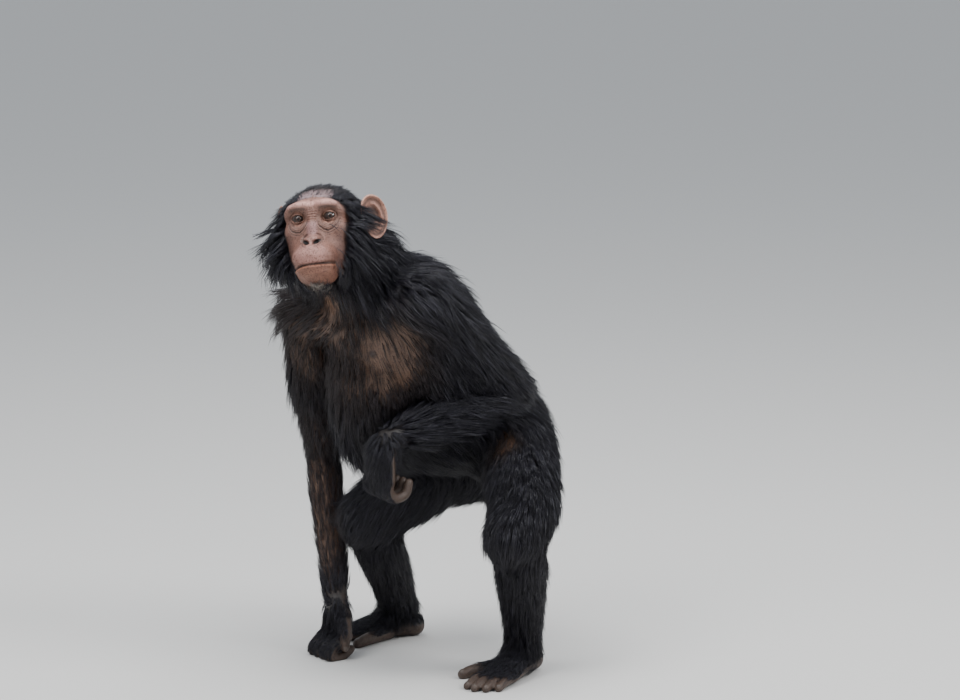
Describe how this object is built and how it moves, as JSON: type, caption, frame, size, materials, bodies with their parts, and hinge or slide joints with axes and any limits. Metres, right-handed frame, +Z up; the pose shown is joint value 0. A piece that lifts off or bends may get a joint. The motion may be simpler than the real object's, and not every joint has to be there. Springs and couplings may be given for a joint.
{
  "type": "chimpanzee figure",
  "caption": "Life-size chimpanzee, half crouched and leaning on one knuckle-walking hand, other forearm lifted, face turned to its left.",
  "frame": {"origin": "on the floor, under the middle of the animal's box", "axes": "+X is the animal's left, +Y its back, +Z up"},
  "size_m": [0.5282, 0.5794, 0.8263],
  "materials": {
    "coat": "long black hair with a grey sheen",
    "face_skin": "bare pinkish brown skin",
    "palm_skin": "dark bare skin",
    "eyes": "wet and dark brown"
  },
  "bodies": {
    "root": {"arm_left": "coat", "arm_right": "coat", "chest": "coat", "ear_left": "face_skin", "ear_right": "face_skin", "eye_left": "eyes", "eye_right": "eyes", "foot_left": "palm_skin", "foot_right": "palm_skin", "forearm_left": "coat", "forearm_right": "coat", "hand_left": "palm_skin", "hand_right": "palm_skin", "head": "face_skin", "neck": "coat", "pelvis": "coat", "shank_left": "coat", "shank_right": "coat", "thigh_left": "coat", "thigh_right": "coat"}
  },
  "joints": []
}
